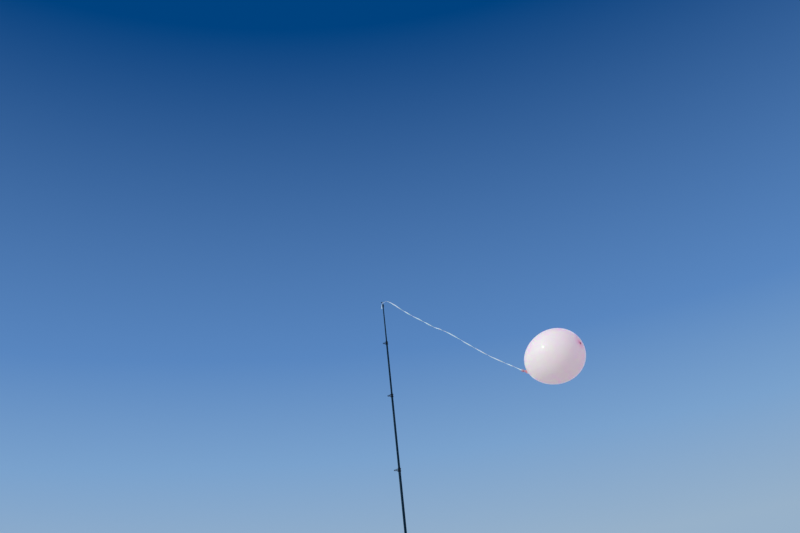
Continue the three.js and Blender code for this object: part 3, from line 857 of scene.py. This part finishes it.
facing = node(latex, "LayerWeight", {}, {"Blend": 0.5}).outputs["Facing"]
body_colour = mixed(
    latex, between(latex, cloud(latex, 60, 3), 0, 1), (0.93, 0.86, 0.82), (0.95, 0.88, 0.84)
)
deepened = mixed(latex, between(latex, facing, 0, 1, 0.35, 0.65), body_colour, (1, 0.87, 0.84))
# Painted shade: the colour turns pinker towards the side away from the sun.
painted_shade_pink = mixed(latex, fade_from(latex, painted_shade_side, 70, 190), deepened, (0.96, 0.76, 0.82))
# Painted sheen: the skin's colour is lightened to near white at its rim, where it is seen edge-on.
skin_colour = mixed(latex, between(latex, facing, 0, 1, 0.68, 0.88), painted_shade_pink, (1, 0.98, 0.98))
neck_tie = neck_root + neck_way * 16
for point, near, far, colour in (
    (neck_root * mm, 20, 80, (0.92, 0.76, 0.73)),  # a flush round the neck's root
    (neck_tie * mm, 17, 26, (0.68, 0.28, 0.26)),  # the neck itself
    (crown_spot, 8, 40, (0.95, 0.68, 0.72)),  # a glow round the crown
    (crown_blush, 5, 17, (0.9, 0.36, 0.52)),
    (crown_spot, 4, 8, (0.35, 0.015, 0.04)),
):
    skin_colour = mixed(latex, fade_from(latex, point, near, far), skin_colour, colour)
dress(latex, latex_shader, Base_Color=skin_colour, Roughness=between(latex, cloud(latex, 25, 4), 0.46, 0.56))
raised(latex, latex_shader, (cloud(latex, 40, 2), 0.1))

balloon_middle = Vector((852.3, -90, 1806))
crown_turn, crown_rise = math.radians(-32.75), math.radians(5)
crown_way = Vector((
    math.cos(crown_rise) * math.cos(crown_turn), math.cos(crown_rise) * math.sin(crown_turn),
    math.sin(crown_rise),
))
balloon_turn = Vector((0, 0, 1)).rotation_difference(crown_way)
half_width, half_length, pear = 141.5, 162.1, 0.058


def on_skin(way):
    """The skin's point for a point of the unit ball, in millimetres."""
    girth = half_width * (1 + pear * way.z)
    return balloon_middle + balloon_turn @ Vector((girth * way.x, girth * way.y, half_length * way.z))


root_way = balloon_turn.inverted() @ (neck_root - balloon_middle)
root_way.z /= half_length
root_way.xy /= half_width * (1 + pear * root_way.z)
root_way.normalize()

meridians, parallels = 96, 72
crown_nub_height, crown_nub_radius = 0.9, 7
flare_foot = 4 * math.pi / parallels  # from the neck's root to the flare's foot, as an angle at the middle
skin = bmesh.new()
bmesh.ops.create_uvsphere(skin, u_segments=meridians, v_segments=parallels, radius=1)
to_root = Vector((0, 0, -1)).rotation_difference(root_way)
root_cap = [v for v in skin.verts if v.co.z < -math.cos(flare_foot - 0.5 * math.pi / parallels)]
bmesh.ops.delete(skin, geom=root_cap, context="VERTS")
rim = [e for e in skin.edges if e.is_boundary]
turns = {v: math.atan2(v.co.y, v.co.x) for e in rim for v in e.verts}
for vertex in skin.verts:
    vertex.co = on_skin(to_root @ vertex.co) * mm
    away = (vertex.co - crown_spot).length / mm
    vertex.co += crown_way * crown_nub_height * mm * math.exp(-((away / crown_nub_radius) ** 2))

# The flare is drawn out of the skin's open ring, leaning over to the ribbon's pull, and gathers in pleats.
neck_radius, flare_length, neck_length = 4.5, 15, 19
flare_steps, pleats, pleat_depth = 20, 9, 0.11
skin_root = on_skin(root_way)
skin_way = (skin_root - on_skin(-root_way)).normalized()
to_pull = skin_way.rotation_difference(neck_way)
neck_polar = neck_radius / (half_width * (1 - pear))


def on_flare(share, turn):
    """The flare's point at a share of the way from its foot to the tie, and an angle round it."""
    polar = flare_foot + (neck_polar - flare_foot) * share
    way = Vector((math.sin(polar) * math.cos(turn), math.sin(polar) * math.sin(turn), -math.cos(polar)))
    lean = share ** 4
    fold = 1 + pleat_depth * lean * math.cos(pleats * turn + 0.6 * math.sin(2 * turn))
    bend = Quaternion().slerp(to_pull, lean)
    middle = skin_root.lerp(neck_root, lean) + skin_way.lerp(neck_way, lean) * flare_length * share ** 3
    return middle + bend @ (on_skin(to_root @ way) - skin_root) * fold


for step in range(1, flare_steps + 2):
    fresh = bmesh.ops.extrude_edge_only(skin, edges=rim)["geom"]
    rim = [g for g in fresh if isinstance(g, bmesh.types.BMEdge)]
    fresh_turns = {}
    for vertex in (g for g in fresh if isinstance(g, bmesh.types.BMVert)):
        below = min(turns, key=lambda v: (v.co - vertex.co).length_squared)
        fresh_turns[vertex] = turns[below]
    for vertex, turn in fresh_turns.items():
        vertex.co = on_flare(min(1, step / flare_steps), turn) * mm
        if step > flare_steps:
            vertex.co += neck_way * (neck_length - flare_length) * mm
    turns = fresh_turns
bmesh.ops.contextual_create(skin, geom=rim)
bmesh.ops.recalc_face_normals(skin, faces=skin.faces)
envelope = piece("latex_skin", skin, latex, "tip", "latex", "balloon_envelope")
envelope_smooth = envelope.modifiers.new("smooth", "SUBSURF")
envelope_smooth.levels = envelope_smooth.render_levels = 1

# Neck's knot and lip: the neck is pulled through itself in one tight knot, and beyond it the rolled bead
# flares out. Unstretched, the latex is at its deepest pink.
drawn_latex, drawn_latex_shader = finish(
    "drawn_latex", (0.66, 0.28, 0.34), 0.4, Subsurface_Weight=0.25, Subsurface_Scale=0.003,
)
dress(
    drawn_latex, drawn_latex_shader,
    Base_Color=mixed(
        drawn_latex, between(drawn_latex, cloud(drawn_latex, 3, 4), 0, 1),
        (0.6, 0.21, 0.27), (0.72, 0.35, 0.41),
    ),
    Roughness=between(drawn_latex, cloud(drawn_latex, 2, 3), 0.32, 0.5),
)
raised(drawn_latex, drawn_latex_shader, (cloud(drawn_latex, 0.6, 3), 0.05))

tied_radius, tied_thickness, tied_height = 7.8, 5.1, 23.15
knot_line = [
    point + Vector((0, 0, tied_height)) for point in overhand(tied_radius, tied_thickness, rise=1, steps=120)
]
latex_knot = closed_bar(knot_line, gathered(tied_thickness, 4.8, 5, 0.05))
bmesh.ops.transform(latex_knot, matrix=neck_place, verts=latex_knot.verts)
piece("latex_knot", latex_knot, drawn_latex, "tip", "drawn_latex", "balloon_knot")

lip_outline = [
    (0, 27.6), (3.1, 27.4), (3.5, 28.6), (4.1, 30.2), (4.8, 31.6), (5.35, 32.3), (5.6, 32.9), (5.55, 33.6),
    (5.1, 34.1), (4.5, 34), (4.2, 33.4), (4.3, 32.8), (3.9, 31.8), (3.2, 30.6), (2.2, 29.6), (0, 29.2),
]
lip_foot, lip_height = 27.6, 6.5
lip_spread, lip_oval, lip_wave = 0.22, 0.03, 0.35
lip = turned(lip_outline)
for vertex in lip.verts:
    angle = math.atan2(vertex.co.y, vertex.co.x)
    rise = max(0, vertex.co.z / mm - lip_foot) / lip_height
    vertex.co.xy *= 1 + lip_spread * rise + lip_oval * rise * math.cos(2 * angle + 0.4)
    vertex.co.z += lip_wave * mm * rise * math.sin(3 * angle)
bmesh.ops.transform(lip, matrix=neck_place, verts=lip.verts)
lip_piece = piece("latex_lip", lip, drawn_latex, "tip", "drawn_latex", "balloon_lip")
lip_smooth = lip_piece.modifiers.new("smooth", "SUBSURF")
lip_smooth.levels = lip_smooth.render_levels = 1

# Studio: a pale floor, a plain blue backdrop all round, paler towards the floor, that the camera and
# polished surfaces see, soft pale light from everywhere on what is matt, and a low sun from the viewer's
# left.
floor_finish, floor_shader = finish("pale_floor", (0.66, 0.68, 0.63), 0.8)
floor_tint = between(floor_finish, cloud(floor_finish, 35, 5), 0, 1)
floor_colour = mixed(floor_finish, floor_tint, (0.65, 0.67, 0.62), (0.67, 0.69, 0.64))
dress(floor_finish, floor_shader, Base_Color=floor_colour)
floor_half_width = 30  # metres
floor_mesh = bpy.data.meshes.new("floor")
floor_shape = bmesh.new()
bmesh.ops.create_grid(floor_shape, x_segments=1, y_segments=1, size=floor_half_width)
floor_shape.to_mesh(floor_mesh)
floor_shape.free()
floor_mesh.materials.append(floor_finish)
floor = bpy.data.objects.new("floor", floor_mesh)
bpy.context.scene.collection.objects.link(floor)

world = bpy.data.worlds.new("backdrop")
bpy.context.scene.world = world
world.use_nodes = True
backdrop = world.node_tree.nodes["Background"]
look = node(world, "TexCoord", {}, {}).outputs["Generated"]
height = node(world, "SeparateXYZ", {}, {"Vector": look}).outputs["Z"]
sky = (0.31, 0.44, 0.59)
for low, high, colour in (  # how high one looks, as a sine, where the colour starts and where it is full
    (0.2, 0.31, (0.195, 0.36, 0.61)), (0.31, 0.42, (0.1, 0.24, 0.525)), (0.42, 0.72, (0, 0.054, 0.21)),
):
    sky = mixed(world, between(world, height, 0, 1, low, high), sky, colour)
world.node_tree.links.new(sky, backdrop.inputs["Color"])
soft_light = world.node_tree.nodes.new("ShaderNodeBackground")
soft_light.inputs["Color"].default_value = (0.64, 0.54, 0.73, 1)
met_by = world.node_tree.nodes.new("ShaderNodeLightPath")
either = world.node_tree.nodes.new("ShaderNodeMixShader")
world.node_tree.links.new(met_by.outputs["Is Diffuse Ray"], either.inputs[0])
world.node_tree.links.new(backdrop.outputs[0], either.inputs[1])
world.node_tree.links.new(soft_light.outputs[0], either.inputs[2])
world.node_tree.links.new(either.outputs[0], world.node_tree.nodes["World Output"].inputs["Surface"])
world.cycles.sampling_method = "NONE"

sunlight = bpy.data.lights.new("low_sun", "SUN")
sunlight.energy = 1.42
sunlight.color = (0.81, 1, 0.83)
sunlight.angle = math.radians(2)
sun_way = Vector((0.748, 0.463, -0.476))
low_sun = bpy.data.objects.new("low_sun", sunlight)
low_sun.rotation_mode = "QUATERNION"
low_sun.rotation_quaternion = sun_way.to_track_quat("-Z", "Y")
bpy.context.scene.collection.objects.link(low_sun)

bpy.context.scene.view_settings.view_transform = "Standard"
